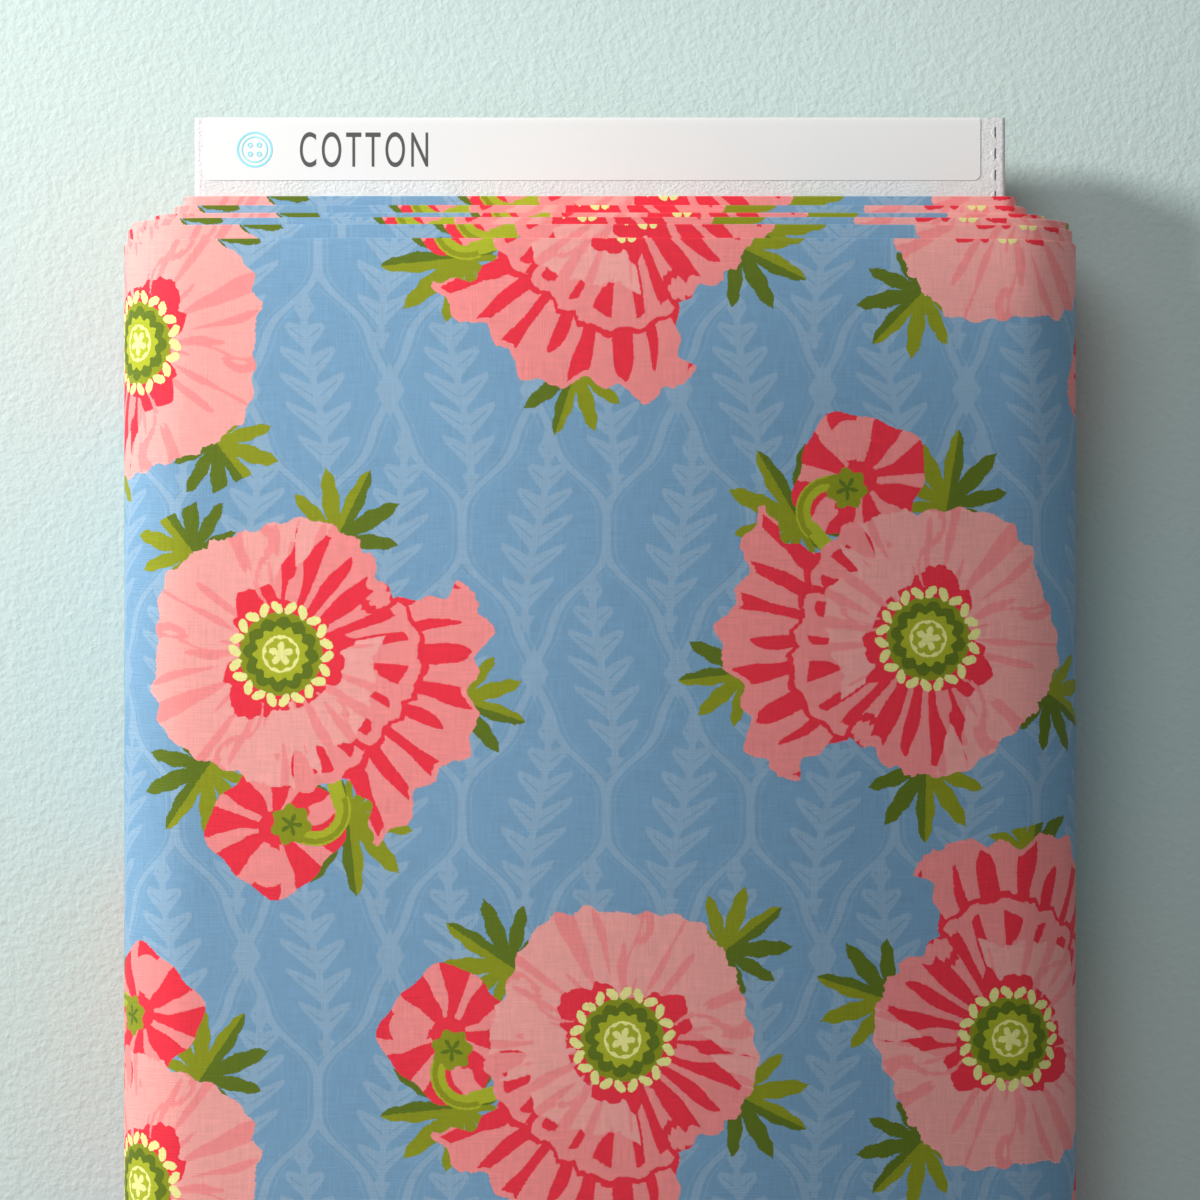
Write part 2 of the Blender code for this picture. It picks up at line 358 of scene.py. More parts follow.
def trellis(finish, u, v):
    """Curved lines that swell and pinch: k times a spacing, plus or minus a quarter of it by one minus a
    cosine, with a small ripple. A diamond where they meet, and a leafy sprig in each opening. 1 where
    printed."""
    across, along = TRELLIS
    risen = v + TRELLIS_START[1]
    way = (2 * math.pi / along) * risen
    wave = (across / 4) * (1.0 - way.math("COSINE")) + 1.6 * (3.0 * way).sin() * way.sin()
    shifted = u + TRELLIS_START[0]
    right = abs((shifted - wave).wrap(across / 2, -across / 2))
    left = abs((shifted + wave).wrap(across / 2, -across / 2))
    near = right.least(left)
    lines = near < 1.0
    inner = (near > 1.9) * (near < 2.3)
    beside = shifted.wrap(across / 2, -across / 2)
    between = (shifted - across / 2).wrap(across / 2, -across / 2)
    at_knot = risen.wrap(along / 2, -along / 2)
    off_knot = (risen + along / 2).wrap(along / 2, -along / 2)
    knots = abs(beside) + 0.55 * abs(at_knot) < 3.4
    beside_knot, above_knot = finish.point(between, at_knot), finish.point(-beside, off_knot)
    opening = finish.choose(abs(beside) < wave, beside_knot, above_knot)
    offset, level, _ = finish.parts(opening)
    stem_x = offset + 2.6 * (0.085 * level).sin() + 0.6
    stem = (abs(stem_x) < 0.8) * (abs(level) < 23.0)
    step = (level - 0.75 * abs(stem_x) + 2.0).wrap(3.4, -3.4)
    taper = 1.0 - (abs(level) / 23.0) ** 2.0
    narrowing = (1.0 - (abs(stem_x) - 0.6) / (7.6 * taper)).most(0.0) ** 0.6
    leaves = (abs(step) < 2.7 * narrowing) * (abs(stem_x) < 7.6 * taper) * (abs(level) < 22.0)
    vein = (abs(step) < 0.22) * (abs(stem_x) < 5.6 * taper)
    sprig = (leaves * (1.0 - vein)).most(stem)
    return lines.most(knots).most(sprig).most(0.55 * inner)


def leaf_spray(finish, place):
    """The leaves of one flower: fans of pointed lobes, a triangle wave round the angle that shortens towards
    the stalk. 1 on a leaf, and 1 on its light side."""
    nearest, best = None, None
    for x, y, degrees, length in LEAVES:
        away = finish.vector("SUBTRACT", place, (x, y, 0.0))
        turned = finish.vector("MULTIPLY", finish.turn(away, -degrees), (1 / length, 1 / length, 1 / length))
        reach = finish.vector("LENGTH", turned, output=1)
        if nearest is None:
            nearest, best = turned, reach
        else:
            nearest = finish.choose(reach < best, nearest, turned)
            best = best.least(reach)
    _, beside, _ = finish.parts(nearest)
    far, angle = polar(finish, nearest)
    lobes = (1.0 - 2.0 * abs((angle / 0.60).wrap(0.5, -0.5))) ** 0.85
    teeth = 0.035 * (22.0 * far + 4.0 * abs(angle)).sin()
    return far < (0.34 + 0.74 * lobes) * (0.70 + 0.30 * angle.math("COSINE")) + teeth, beside > 0.0


def seed_head(finish, far, angle, petals, cloth):
    """The middle of a flower, laid over its petals: a notched disc, a star, and a ring of anthers."""
    colour = finish.blend(far < SEED_HEAD_RADIUS, petals, cloth.olive)
    colour = finish.blend(far < 7.4 + 1.3 * abs((angle * 6.0).sin()), colour, cloth.leaf)
    colour = finish.blend(far < 6.0 + 0.5 * (angle * 13.0).sin(), colour, cloth.lime)
    colour = finish.blend((far < 4.3) * (far > 3.6 + 0.25 * (angle * 9.0).sin()), colour, cloth.yellow)
    colour = finish.blend(far < 1.0 + 1.9 * abs((angle * 2.5).sin()), colour, cloth.yellow)
    count, ring = 22.0, 10.7
    spoke = (angle * (count / (2 * math.pi))).wrap(0.5, -0.5) * (2 * math.pi / count) * ring
    wobble = far - ring + 0.6 * (angle * 11.0).sin()
    anthers = finish.vector("LENGTH", finish.point(spoke, wobble), output=1) < 1.32
    return finish.blend(anthers, colour, cloth.yellow)


def poppy(finish, place, cloth):
    """One flower head with a half-hidden second bloom, a bud, a hooked stem and leaves. Petal outlines are
    circles whose radius swings with the angle, and streaks are noise stretched along the radius. Gives the
    colour, and 1 where it covers the ground."""
    x, y, _ = finish.parts(place)
    far, angle = polar(finish, place)
    ring = finish.vector("NORMALIZE", place)
    rx, ry, _ = finish.parts(ring)
    ruffle = finish.noise(finish.point(rx * 4.2, ry * 4.2, 0.0), 1.0, 3.0, 0.62)
    fine = finish.noise(finish.point(rx * 4.6, ry * 4.6, far * 0.050), 1.0, 1.0)
    flame = finish.noise(finish.point(rx * 3.4, ry * 3.4, far * 0.040 + 7.0), 1.0, 1.5)
    shape = (5.0 * angle + 3.4 * (ruffle - 0.5)).sin()
    edge = BLOOM_RADIUS + 1.5 * shape + 4.6 * (ruffle - 0.5) + 0.5 * (29.0 * angle).sin()

    # Leaves, behind everything
    cover, light_side = leaf_spray(finish, place)
    colour = finish.blend(light_side, cloth.leaf, cloth.olive)

    # Bud
    bud_place = finish.vector("SUBTRACT", place, BUD)
    bud_far, bud_angle = polar(finish, bud_place)
    bud_ring = finish.noise(finish.point(bud_angle * 1.6, bud_far * 0.09, 3.0), 1.0, 1.0)
    bud = bud_far < BUD_RADIUS + 1.2 * (4.0 * bud_angle).sin() + 0.5 * (9.0 * bud_angle).sin()
    bands = ((1.3 * bud_angle + 0.9 * bud_ring) * 6.0).sin()
    stripes = (bands > 0.25 + 0.02 * bud_far) * (bud_far > 4.0)
    spot = finish.vector("LENGTH", finish.vector("SUBTRACT", place, BUD_SPOT), output=1) < 4.6
    bud_colour = finish.blend(stripes.most(spot), cloth.red, cloth.pink)
    colour = finish.blend(bud, colour, bud_colour)
    cover = cover.most(bud)

    # Second bloom, half hidden
    fan_edge = FAN_RADIUS + 2.0 * (11.0 * angle + 5.0 * ruffle).sin() + 1.0 * (31.0 * angle).sin()
    fan = (far < fan_edge) * (abs(angle) < 0.74 + 0.05 * (0.28 * far).sin() + 0.02 * (0.9 * far).sin())
    fan_streaks = (flame - 0.5) * 5.0 + (31.0 * angle + 5.0 * fine + 0.03 * far).sin()
    hollow = far < edge + 0.6 + 5.0 * (flame - 0.38)
    fan_red = ((fan_streaks > 0.30 + 0.050 * (far - 34.0)) * (far < fan_edge - 1.5)).most(hollow)
    fan_colour = finish.blend(fan_red, cloth.pink, cloth.red)
    colour = finish.blend(fan, colour, fan_colour)
    cover = cover.most(fan)

    # Hooked stem and seed pod, over the bud
    hook_place = finish.vector("SUBTRACT", place, HOOK)
    hook_far, hook_angle = polar(finish, hook_place)
    hook = (abs(hook_far - 6.6) < 1.7) * (hook_angle < 0.75) * (hook_angle > -2.2)
    along = (0.58 * (x - 12.0) - 0.815 * (y + 10.0)).ramp(0.0, 21.5) * 21.5
    nearest = finish.point(12.0 + 0.58 * along, -10.0 - 0.815 * along)
    stalk = finish.vector("LENGTH", finish.vector("SUBTRACT", place, nearest), output=1) < 1.7
    pod_place = finish.vector("SUBTRACT", place, POD)
    pod_far, pod_angle = polar(finish, pod_place)
    pod = pod_far < 4.4 + 0.5 * (7.0 * pod_angle).sin()
    pod_core = pod_far < 1.6 + 1.1 * (5.0 * pod_angle).sin()
    stem = hook.most(stalk)
    core_line = (abs(hook_far - 7.2) < 0.6) * hook
    colour = finish.blend(stem, colour, cloth.lime)
    colour = finish.blend(core_line, colour, cloth.olive)
    colour = finish.blend(pod, colour, cloth.olive)
    colour = finish.blend(pod_core * pod, colour, cloth.leaf)
    cover = cover.most(stem).most(pod)

    # Main bloom
    bloom = far < edge
    petal = 2.5 * angle + 0.35 * (0.30 * far).sin() + 1.6 * (ruffle - 0.5)
    lobe = abs((petal / math.pi + 0.3).wrap(0.5, -0.5)) * 2.0
    outer_petals = far > 21.5 + 4.5 * (1.0 - lobe) + 3.0 * (fine - 0.5)
    pale_side = (rx * -0.80 + ry * -0.30 + 2.2 * (flame - 0.5) + 0.10 * (4.0 * petal).sin()) > 0.02
    pale_petals = pale_side.most((1.0 - outer_petals) * ((far > 13.0) * (rx > -0.5) * (ry < 0.5)))
    soft_streaks = (fine - 0.5) * 7.0 + (27.0 * angle + 4.0 * flame).sin() > 0.45 + 0.06 * abs(far - 22.0)
    red_streaks = (flame - 0.5) * 6.0 + (23.0 * angle + 6.0 * fine).sin() > -0.28 + 0.044 * (far - 13.0)
    petals = finish.blend(pale_petals, cloth.pink, cloth.pale_pink)
    petals = finish.blend(soft_streaks * pale_petals, petals, cloth.pink)
    red_streaks = red_streaks * (1.0 - pale_petals) * (far < edge - 1.6 - 2.4 * fine)
    petals = finish.blend(red_streaks, petals, cloth.red)
    throat = far < 13.2 + 3.6 * (3.0 * angle + 0.8).sin() + 12.0 * (flame - 0.5)
    petals = finish.blend(throat, petals, cloth.red)
    seam = (lobe < 0.035 + 0.0012 * far) * (far > 12.0)
    petals = finish.blend(seam, petals, finish.blend(pale_petals, cloth.red, cloth.pink))
    colour = finish.blend(bloom, colour, petals)
    return seed_head(finish, far, angle, colour, cloth), cover.most(bloom)


def weave(finish, u, v):
    """Plain weave: the product of a sine along each set of threads, with threads of uneven thickness. Gives
    about -1 to 1."""
    uneven = finish.noise(finish.point(u * 0.15, v * 3.0, 0.0), 1.0, 2.0)
    slub = finish.noise(finish.point(u * 3.0, v * 0.15, 5.0), 1.0, 2.0)
    pitch = 2 * math.pi / WEAVE_REPEAT
    cells = (u * pitch).sin() * (v * pitch).sin()
    return 0.55 * cells + 2.2 * (uneven - 0.5) + 2.2 * (slub - 0.5)


def cloth_place(finish):
    """Where a point lies on the flat cloth, in millimetres: as a vector, along the cloth, and across it."""
    sockets = {0: finish.place(2), "Scale": 1000.0}
    millimetres = finish.node("ShaderNodeVectorMath", {"operation": "SCALE"}, sockets)
    u, v, _ = finish.parts(millimetres)
    return millimetres, u, v


def printed_cotton(cloth):
    """Quilting cotton, printed side: a blue trellis ground, red and pink poppies, plain selvedges, and the
    weave in colour and relief."""
    finish = Finish("poppy_print", Roughness=0.86, IOR=1.45, Sheen_Weight=0.12, Sheen_Roughness=0.4)
    millimetres, u, v = cloth_place(finish)
    threads = weave(finish, u, v)
    frayed = finish.noise(millimetres, 1.7, 1.0, output=1)
    jitter = finish.vector("MULTIPLY_ADD", frayed, (0.7, 0.7, 0.0), (-0.35, -0.35, 0.0))
    place = finish.vector("ADD", finish.point(u, v), jitter)
    blue = finish.blend(trellis(finish, u, v), tuple(cloth.ground), tuple(cloth.trellis))
    flower, cover = poppy(finish, nearest_motif(finish, place, FLOWERS, REPEAT), Palette(cloth))
    colour = finish.blend(cover, blue, flower)
    selvedge = abs(v) > cloth.width * 1000.0 - SELVEDGE
    colour = finish.blend(selvedge, colour, tuple(cloth.wrong_side))
    finish.feed("Base Color", finish.shade(colour, 1.0 + 0.15 * threads))
    finish.bump(threads, 0.00009, 0.7)
    return finish.material


def plain_side(cloth):
    """The same cotton from its wrong side, where the print only shows through."""
    finish = Finish("unprinted_side", Roughness=0.9, Sheen_Weight=0.12)
    millimetres, u, v = cloth_place(finish)
    threads = weave(finish, u, v)
    ghost = finish.noise(millimetres, 0.03, 2.0)
    colour = finish.blend(ghost.ramp(0.46, 0.56), tuple(cloth.wrong_side), (0.60, 0.44, 0.44))
    finish.feed("Base Color", finish.shade(colour, 1.0 + 0.07 * threads))
    finish.bump(threads, 0.00009, 0.7)
    return finish.material


def dress(piece, cloth):
    """Print outside, plain inside. The two finishes are made once and shared."""
    for name, make in (("poppy_print", printed_cotton), ("unprinted_side", plain_side)):
        piece.data.materials.append(bpy.data.materials.get(name) or make(cloth))


class Palette:
    """The print's colours as plain tuples."""

    def __init__(self, cloth):
        for name in ("pale_pink", "pink", "red", "leaf", "olive", "lime", "yellow"):
            setattr(self, name, tuple(getattr(cloth, name)))


def pulp_card(board, name, slits=False):
    """Uncoated grey-white board: mottled pulp with fine fibres in relief. With slits, a row of half-round
    cuts runs down the crease near the right edge, drawn in colour and bump only: painted shade in each cut,
    a painted highlight on its curved lip, and painted shade along the crease."""
    finish = Finish(name, Roughness=0.88)
    place = finish.place()
    x, y, z = finish.parts(place)
    fibres = finish.noise(finish.vector("MULTIPLY", place, (1.0, 1.3, 1.0)), 1150.0, 4.0, 0.72)
    mottle = finish.noise(place, 140.0, 3.0, 0.6)
    tone = 1.0 + 0.42 * (fibres - 0.5) + 0.14 * (mottle - 0.5)
    height = fibres + 0.5 * mottle
    if slits:
        crease = HALF_BOARD - board.crease
        across = x - crease
        along = (y - (BOARD_TOP - 0.0034)).wrap(board.slit_pitch / 2, -board.slit_pitch / 2)
        facing = (z > BOARD_FRONT - 0.0004) * (y < BOARD_TOP - 0.0008)
        # Painted light: the cut is darkened as painted shade, the lip beside it lightened as a painted
        # highlight, and the scored crease darkened as painted shade.
        cut = (abs(across) < 0.00016) * (abs(along) < 0.00118) * facing
        bow = (along / 0.0013) ** 2.0
        lip_highlight = (abs(across + 0.00095 * (1.0 - bow)) < 0.00016) * (abs(along) < 0.00125) * facing
        score_shade = (abs(across) < 0.00028) * facing
        tone = tone * (1.0 - 0.88 * cut) * (1.0 + 0.38 * lip_highlight) * (1.0 - 0.10 * score_shade)
        height = height + 1.6 * lip_highlight - 3.0 * cut - 1.2 * score_shade
    finish.feed("Base Color", finish.shade(tuple(board.card), tone))
    finish.bump(height, 0.00042, 0.9)
    return finish.material


def sticker_paper(board):
    """Smooth coated paper with the faintest tooth."""
    finish = Finish("sticker_paper", Roughness=0.5, Coat_Weight=0.05, Coat_Roughness=0.35)
    tooth = finish.noise(finish.place(), 1500.0, 3.0, 0.6)
    haze = finish.noise(finish.place(), 60.0, 2.0)
    finish.feed("Base Color", finish.shade(tuple(board.paper), 0.985 + 0.03 * haze))
    finish.bump(tooth, 0.00001, 0.35)
    return finish.material


def printing_ink(name, colour):
    """Flat ink that lets a little of the paper's tooth through."""
    finish = Finish(name, Roughness=0.55)
    tooth = finish.noise(finish.place(), 2200.0, 2.0)
    finish.feed("Base Color", finish.shade(tuple(colour), 0.9 + 0.2 * tooth))
    return finish.material


def plaster(studio):
    """Pale mint plaster with soft trowelled grain."""
    finish = Finish("mint_plaster", Roughness=0.95)
    place = finish.place()
    grain = finish.noise(place, 520.0, 4.0, 0.6)
    swell = finish.noise(place, 150.0, 3.0)
    finish.feed("Base Color", finish.shade(tuple(studio.wall), 0.97 + 0.06 * grain))
    finish.bump(grain + 0.5 * swell, 0.0008, 0.5)
    return finish.material


# ---------------------------------------------------------------- shapes

def closed_strip(name, rings, uv=None, sides=None):
    """A closed skin from a grid of points, rings along the piece and points round each ring. Every ring is a
    there-and-back outline of equal halves, so each end is closed with quads from the way out to the way
    back. It is turned right side out by the sign of its volume."""
    along, around = rings.shape[:2]
    points = rings.reshape(-1, 3)
    row = np.arange(along - 1)[:, None] * around
    here = np.arange(around)[None, :]
    after = (here + 1) % around
    skin = np.stack([row + here, row + after, row + around + after, row + around + here], -1).reshape(-1, 4)
    out = np.arange(around // 2 - 1)
    cap = np.stack([out, around - 1 - out, around - 2 - out, out + 1], -1)
    faces = np.concatenate([skin, cap, cap[:, ::-1] + (along - 1) * around])
    a, b, c, d = (points[faces[:, i]] for i in range(4))
    volume = (np.einsum("ij,ij->i", a, np.cross(b, c)) + np.einsum("ij,ij->i", a, np.cross(c, d))).sum()
    if volume < 0:
        faces = faces[:, ::-1]
    mesh = bpy.data.meshes.new(name)
    mesh.from_pydata(points.tolist(), [], faces.tolist())
    if uv is not None:
        layer = mesh.uv_layers.new(name="cloth")
        layer.data.foreach_set("uv", uv.reshape(-1, 2)[faces.ravel()].astype(np.float32).ravel())
    if sides is not None:
        inside = np.tile(sides, along - 1)
        kinds = np.concatenate([inside, np.ones(2 * len(cap), int)])
        mesh.polygons.foreach_set("material_index", kinds.astype(np.int32))
    mesh.shade_smooth()
    mesh.set_sharp_from_angle(angle=math.radians(50))
    mesh.update()
    piece = bpy.data.objects.new(name, mesh)
    bpy.context.scene.collection.objects.link(piece)
    return piece


def doubled_profile(cloth, steps):
    """The outline of cloth folded double, as distance from the fold, height off its middle, and distance over
    the cloth. Out along the outer ply's face, round the fold in a half circle, back along the inner ply's
    face, and home again between the plies. The inner ply ends a little short of the outer one."""
    half, inner = cloth.doubled / 2, cloth.doubled / 2 - cloth.ply
    bend = 6
    spread = 1 - np.linspace(0, 1, steps) ** 0.8
    straight = -half - (cloth.width - half) * spread
    arc = np.linspace(math.pi / 2, -math.pi / 2, bend + 1)[1:-1]
    short = np.where(spread[::-1] == 1, 0.0008, 0.0)
    away = np.concatenate([straight, -half + half * np.cos(arc), straight[::-1] + short])
    lift = np.concatenate([np.full(steps, half), half * np.sin(arc), np.full(steps, -half)])
    over = np.concatenate([straight + half, np.zeros(bend - 1), -(straight[::-1] + half)])
    back_away = np.concatenate([straight, -half + inner * np.cos(arc), straight[::-1] + short])[::-1]
    back_lift = np.concatenate([np.full(steps, inner), inner * np.sin(arc), np.full(steps, -inner)])[::-1]
    away, lift = np.concatenate([away, back_away]), np.concatenate([lift, back_lift])
    over = np.concatenate([over, over[::-1]])
    sides = np.zeros(len(away), int)
    sides[len(away) // 2:-1] = 1
    return away, lift, over, sides


def lay(route, name, cloth, steps):
    """Carries the doubled outline along a route round the board: each point is the core point plus its normal
    times the winding radius and the outline's height. The whole is then crowned."""
    away, lift, over, sides = doubled_profile(cloth, steps)
    core, way, radius, fold, length = route
    reach = radius[:, None] + lift[None, :]
    x = core[:, 0][:, None] + np.cos(way)[:, None] * reach
    z = core[:, 1][:, None] + np.sin(way)[:, None] * reach
    y = fold[:, None] + away[None, :]
    x, z = crowned(cloth, x, z)
    uv = np.stack(np.broadcast_arrays(length[:, None], over[None, :]), -1)
    return closed_strip(name, np.stack([x, y, z], -1), uv, sides)


def crowned(cloth, x, z):
    """The upper half of the winding eases down towards the long edges, by the crown times the distance across
    to the power of 3.4, fading to nothing at the board's face."""
    share = np.clip((z - BOARD_FRONT) / (HEIGHT - BOARD_FRONT), 0, 1)
    side = np.clip(np.abs(x) / (CORE_X + HEIGHT - BOARD_FRONT), 0, 1)
    return x, z - cloth.crown * share * side ** 3.4


def stretch(kind, start, end, count):
    """Part of the way round the core: points on it, the way each faces, and the share of the stretch behind
    it. A bend stays at its corner while the way turns."""
    t = np.linspace(0, 1, count)
    corner = {"bottom": -math.pi / 2, "left": -math.pi, "top": math.pi / 2, "right": 0.0}
    if kind in corner:
        (x0, z0), (x1, z1) = start, end
        return np.stack([x0 + (x1 - x0) * t, z0 + (z1 - z0) * t], -1), np.full(count, corner[kind]), t
    return np.tile(np.array(start), (count, 1)), np.radians(end[0] + (end[1] - end[0]) * t), t


LOW_LEFT, LOW_RIGHT = (-CORE_X, CORE_LOW), (CORE_X, CORE_LOW)
TOP_LEFT, TOP_RIGHT = (-CORE_X, CORE_HIGH), (CORE_X, CORE_HIGH)
MIDDLE_LEFT = (-CORE_X, (CORE_LOW + CORE_HIGH) / 2)


def winding(cloth):
    """Where each turn lies: its radius from the core, and the height of its fold along the bolt."""
    last = CARD_CORNER + (HEIGHT - BOARD_FRONT) - cloth.doubled / 2 - 0.00005
    first = CARD_CORNER + cloth.lining + cloth.doubled / 2
    radii = np.linspace(first, last, TURNS + 1)
    folds = np.concatenate([np.full(count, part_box(node)[1].y) for node, count in TIERS] + [[LAST_FOLD]])
    spread = np.concatenate([np.linspace(-0.0004, 0.0, count) for _, count in TIERS] + [[0.0]])
    uneven = 0.00012 * np.sin(12.9 * np.arange(TURNS + 1))
    uneven[-1] = 0.0
    return radii, folds + spread + uneven


def join(parts):
    """Stretches end to end, without the doubled point where they meet."""
    first, rest = parts[0], parts[1:]
    return [np.concatenate([first[i], *(part[i][1:] for part in rest)]) for i in range(len(first))]


def inner_turns(cloth):
    """All turns but the last, from the board outwards. Each goes along the underside, up the left, over the
    top, down the right and round to the underside again, where it steps out by one thickness. The print
    keeps the same place on the face of every turn."""
    radii, folds = winding(cloth)
    repeat = 2 * REPEAT[0] / 1000
    slip = np.concatenate([np.full(count, slipped) for (_, count), slipped in zip(TIERS, PRINT_SLIP)])
    parts = []
    for turn in range(TURNS):
        radius, fold, before = radii[turn], folds[turn], folds[max(turn - 1, 0)]
        wound = (TURNS - turn) * repeat + slip[turn]
        quarter = radius * math.pi / 2
        side = CORE_HIGH - CORE_LOW
        to_left = -CORE_X - quarter - side - quarter
        to_right = CORE_X + quarter + side
        previous = to_right - repeat
        legs = (
            ("bottom", LOW_RIGHT, LOW_LEFT, 8, (previous + 0.03, to_left)),
            ("bend", LOW_LEFT, (-90, -180), 8, (to_left, to_left + quarter)),
            ("left", LOW_LEFT, TOP_LEFT, 5, (to_left + quarter, to_left + quarter + side)),
            ("bend", TOP_LEFT, (-180, -270), 9, (-CORE_X - quarter, -CORE_X)),
            ("top", TOP_LEFT, TOP_RIGHT, 16, (-CORE_X, CORE_X)),
            ("bend", TOP_RIGHT, (90, 0), 9, (CORE_X, CORE_X + quarter)),
            ("right", TOP_RIGHT, LOW_RIGHT, 5, (CORE_X + quarter, to_right)),
            ("step", LOW_RIGHT, (0, -90), 8, (to_right, to_right + 0.03)),
        )
        for number, (kind, start, end, count, (u0, u1)) in enumerate(legs):
            core, way, t = stretch(kind, start, end, count)
            out = np.full(count, radius)
            if kind == "step":
                out = radius + (radii[turn + 1] - radius) * t ** 2 * (3 - 2 * t)
            drift = before + (fold - before) * t if kind == "bottom" else np.full(count, fold)
            ripple = 0.00010 * np.sin(2 * np.pi * ((number + t) / 8 + 0.37 * turn))
            parts.append((core, way, out, drift + ripple, u0 + (u1 - u0) * t - wound))
    return join(parts)


def last_turn(cloth, legs):
    """Stretches of the outermost turn, each given as its kind, start, end, points, and the length over the
    cloth at both ends."""
    radii, folds = winding(cloth)
    parts = []
    for kind, start, end, count, (u0, u1) in legs:
        core, way, t = stretch(kind, start, end, count)
        fold = folds[-2] + (folds[-1] - folds[-2]) * t if kind == "bottom" else np.full(count, folds[-1])
        parts.append((core, way, np.full(count, radii[-1]), fold, u0 + (u1 - u0) * t))
    return join(parts)


def sheet_label(board, name):
    """The sticker: up the front, over the board's end in two small bends, and down the back, with a
    there-and-back outline across it. Its width closes in as a quarter circle at both ends."""
    low, high = LABEL_BOX
    leg = BOARD_TOP - low.y
    thick = board.paper_thickness
    bend, room = 0.0006, 0.00004
    front, back, end = BOARD_FRONT + room, BOARD_BACK - room, BOARD_TOP + room
    corner = 0.0016
    first = corner * (1 - np.cos(np.linspace(0, math.pi / 2, 9)))
    up = end - leg + np.concatenate([first, np.linspace(corner, leg - bend, 12)[1:]])
    arc = np.linspace(0, math.pi / 2, 6)[1:]
    rise, fall = bend * np.sin(arc), bend * np.cos(arc)
    there, home = np.ones(len(up)), np.ones(len(up) - 1)
    y = np.concatenate([up, end - bend + rise, end - bend + fall, up[::-1][1:]])
    z = np.concatenate([front * there, front - bend + fall, back + bend - rise, back * home])
    way = np.concatenate([math.pi / 2 * there, math.pi / 2 - arc, -arc, -math.pi / 2 * home])
    reach = np.minimum(y - y[0], corner)
    inset = corner - np.sqrt(np.maximum(corner ** 2 - (corner - reach) ** 2, 0))
    share = np.linspace(0, 1, 24)
    left, right = low.x + inset, high.x - inset
    x = left[:, None] + (right - left)[:, None] * share[None, :]

    def lifted(height):
        raised_y, raised_z = y + np.cos(way) * height, z + np.sin(way) * height
        return np.stack(np.broadcast_arrays(x, raised_y[:, None], raised_z[:, None]), -1)

    return closed_strip(name, np.concatenate([lifted(thick), lifted(0.0)[:, ::-1]], 1))


def flat_print(name, rings):
    """A thin print just proud of the sticker: flat bands side by side, each between an outer and an inner
    ring of as many points."""
    vertices, faces = [], []
    for outer, inner in rings:
        count = len(outer)
        base = sum(len(v) for v in vertices)
        low = BOARD_FRONT + INK_HEIGHT
        loop = np.concatenate([outer, inner])
        levels = [np.column_stack([loop, np.full(len(loop), z)]) for z in (low + INK_THICKNESS, low)]
        vertices.append(np.concatenate(levels))
        i = np.arange(count)
        j = (i + 1) % count
        up, down = base, base + 2 * count
        faces.append(np.stack([up + i, up + j, up + count + j, up + count + i], -1))
        faces.append(np.stack([down + count + i, down + count + j, down + j, down + i], -1))
        faces.append(np.stack([down + i, down + j, up + j, up + i], -1))
        faces.append(np.stack([up + count + i, up + count + j, down + count + j, down + count + i], -1))
    points, quads = np.concatenate(vertices), np.concatenate(faces)
    a, b, c, d = (points[quads[:, k]] for k in range(4))
    if (np.einsum("ij,ij->i", a, np.cross(b, c)) + np.einsum("ij,ij->i", a, np.cross(c, d))).sum() < 0:
        quads = quads[:, ::-1]
    mesh = bpy.data.meshes.new(name)
    mesh.from_pydata(points.tolist(), [], quads.tolist())
    mesh.update()
    piece = bpy.data.objects.new(name, mesh)
    bpy.context.scene.collection.objects.link(piece)
    return piece


def circle(x, y, radius, count):
    """Points round a circle: its middle plus the radius times the cosine and sine of the angle."""
    turn = np.linspace(0, 2 * math.pi, count, endpoint=False)
    return np.stack([x + radius * np.cos(turn), y + radius * np.sin(turn)], -1)


def letter_mesh(name, text, left, middle, height, width):
    """Plain condensed capitals, turned into a mesh and pressed into place on the sticker."""
    curve = bpy.data.curves.new(name, "FONT")
    curve.body, curve.size, curve.extrude = text, 1.0, 0.00002 / height
    curve.space_character = 1.25
    curve.fill_mode = "BOTH"
    typed = bpy.data.objects.new(name + "_type", curve)
    bpy.context.scene.collection.objects.link(typed)
    bpy.context.view_layer.update()
    mesh = bpy.data.meshes.new_from_object(typed.evaluated_get(bpy.context.evaluated_depsgraph_get()))
    bpy.data.objects.remove(typed, do_unlink=True)
    mesh.name = name
    points = np.empty(len(mesh.vertices) * 3, np.float32)
    mesh.vertices.foreach_get("co", points)
    points = points.reshape(-1, 3)
    low, high = points.min(0), points.max(0)
    points[:, 0] = left + (points[:, 0] - low[0]) * (width / (high[0] - low[0]))
    points[:, 1] = middle + (points[:, 1] - (low[1] + high[1]) / 2) * (height / (high[1] - low[1]))
    points[:, 2] = BOARD_FRONT + INK_HEIGHT + (points[:, 2] - low[2]) * (INK_THICKNESS / (high[2] - low[2]))
    mesh.vertices.foreach_set("co", points.ravel())
    mesh.update()
    piece = bpy.data.objects.new(name, mesh)
    bpy.context.scene.collection.objects.link(piece)
    return piece


def backdrop(name, corners, material):
    """One flat panel of the stage, from its four corners."""
    mesh = bpy.data.meshes.new(name)
    mesh.from_pydata(corners, [], [(0, 1, 2, 3)])
    mesh.materials.append(material)
    panel = bpy.data.objects.new(name, mesh)
    bpy.context.scene.collection.objects.link(panel)
    return panel


# ---------------------------------------------------------------- operators

class BOLT_OT_wound_cloth(bpy.types.Operator):
    """Wind the inner turns of doubled cotton"""
    bl_idname = "bolt.wound_cloth"
    bl_label = "Wound cloth"

    def execute(self, context):
        cloth = context.scene.bolt_cloth
        route = inner_turns(cloth)
        piece = lay(route, "wound_turns", cloth, 11)
        dress(piece, cloth)
        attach(piece, "wound_cloth")
        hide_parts(*(node for node, _ in TIERS))
        return {"FINISHED"}


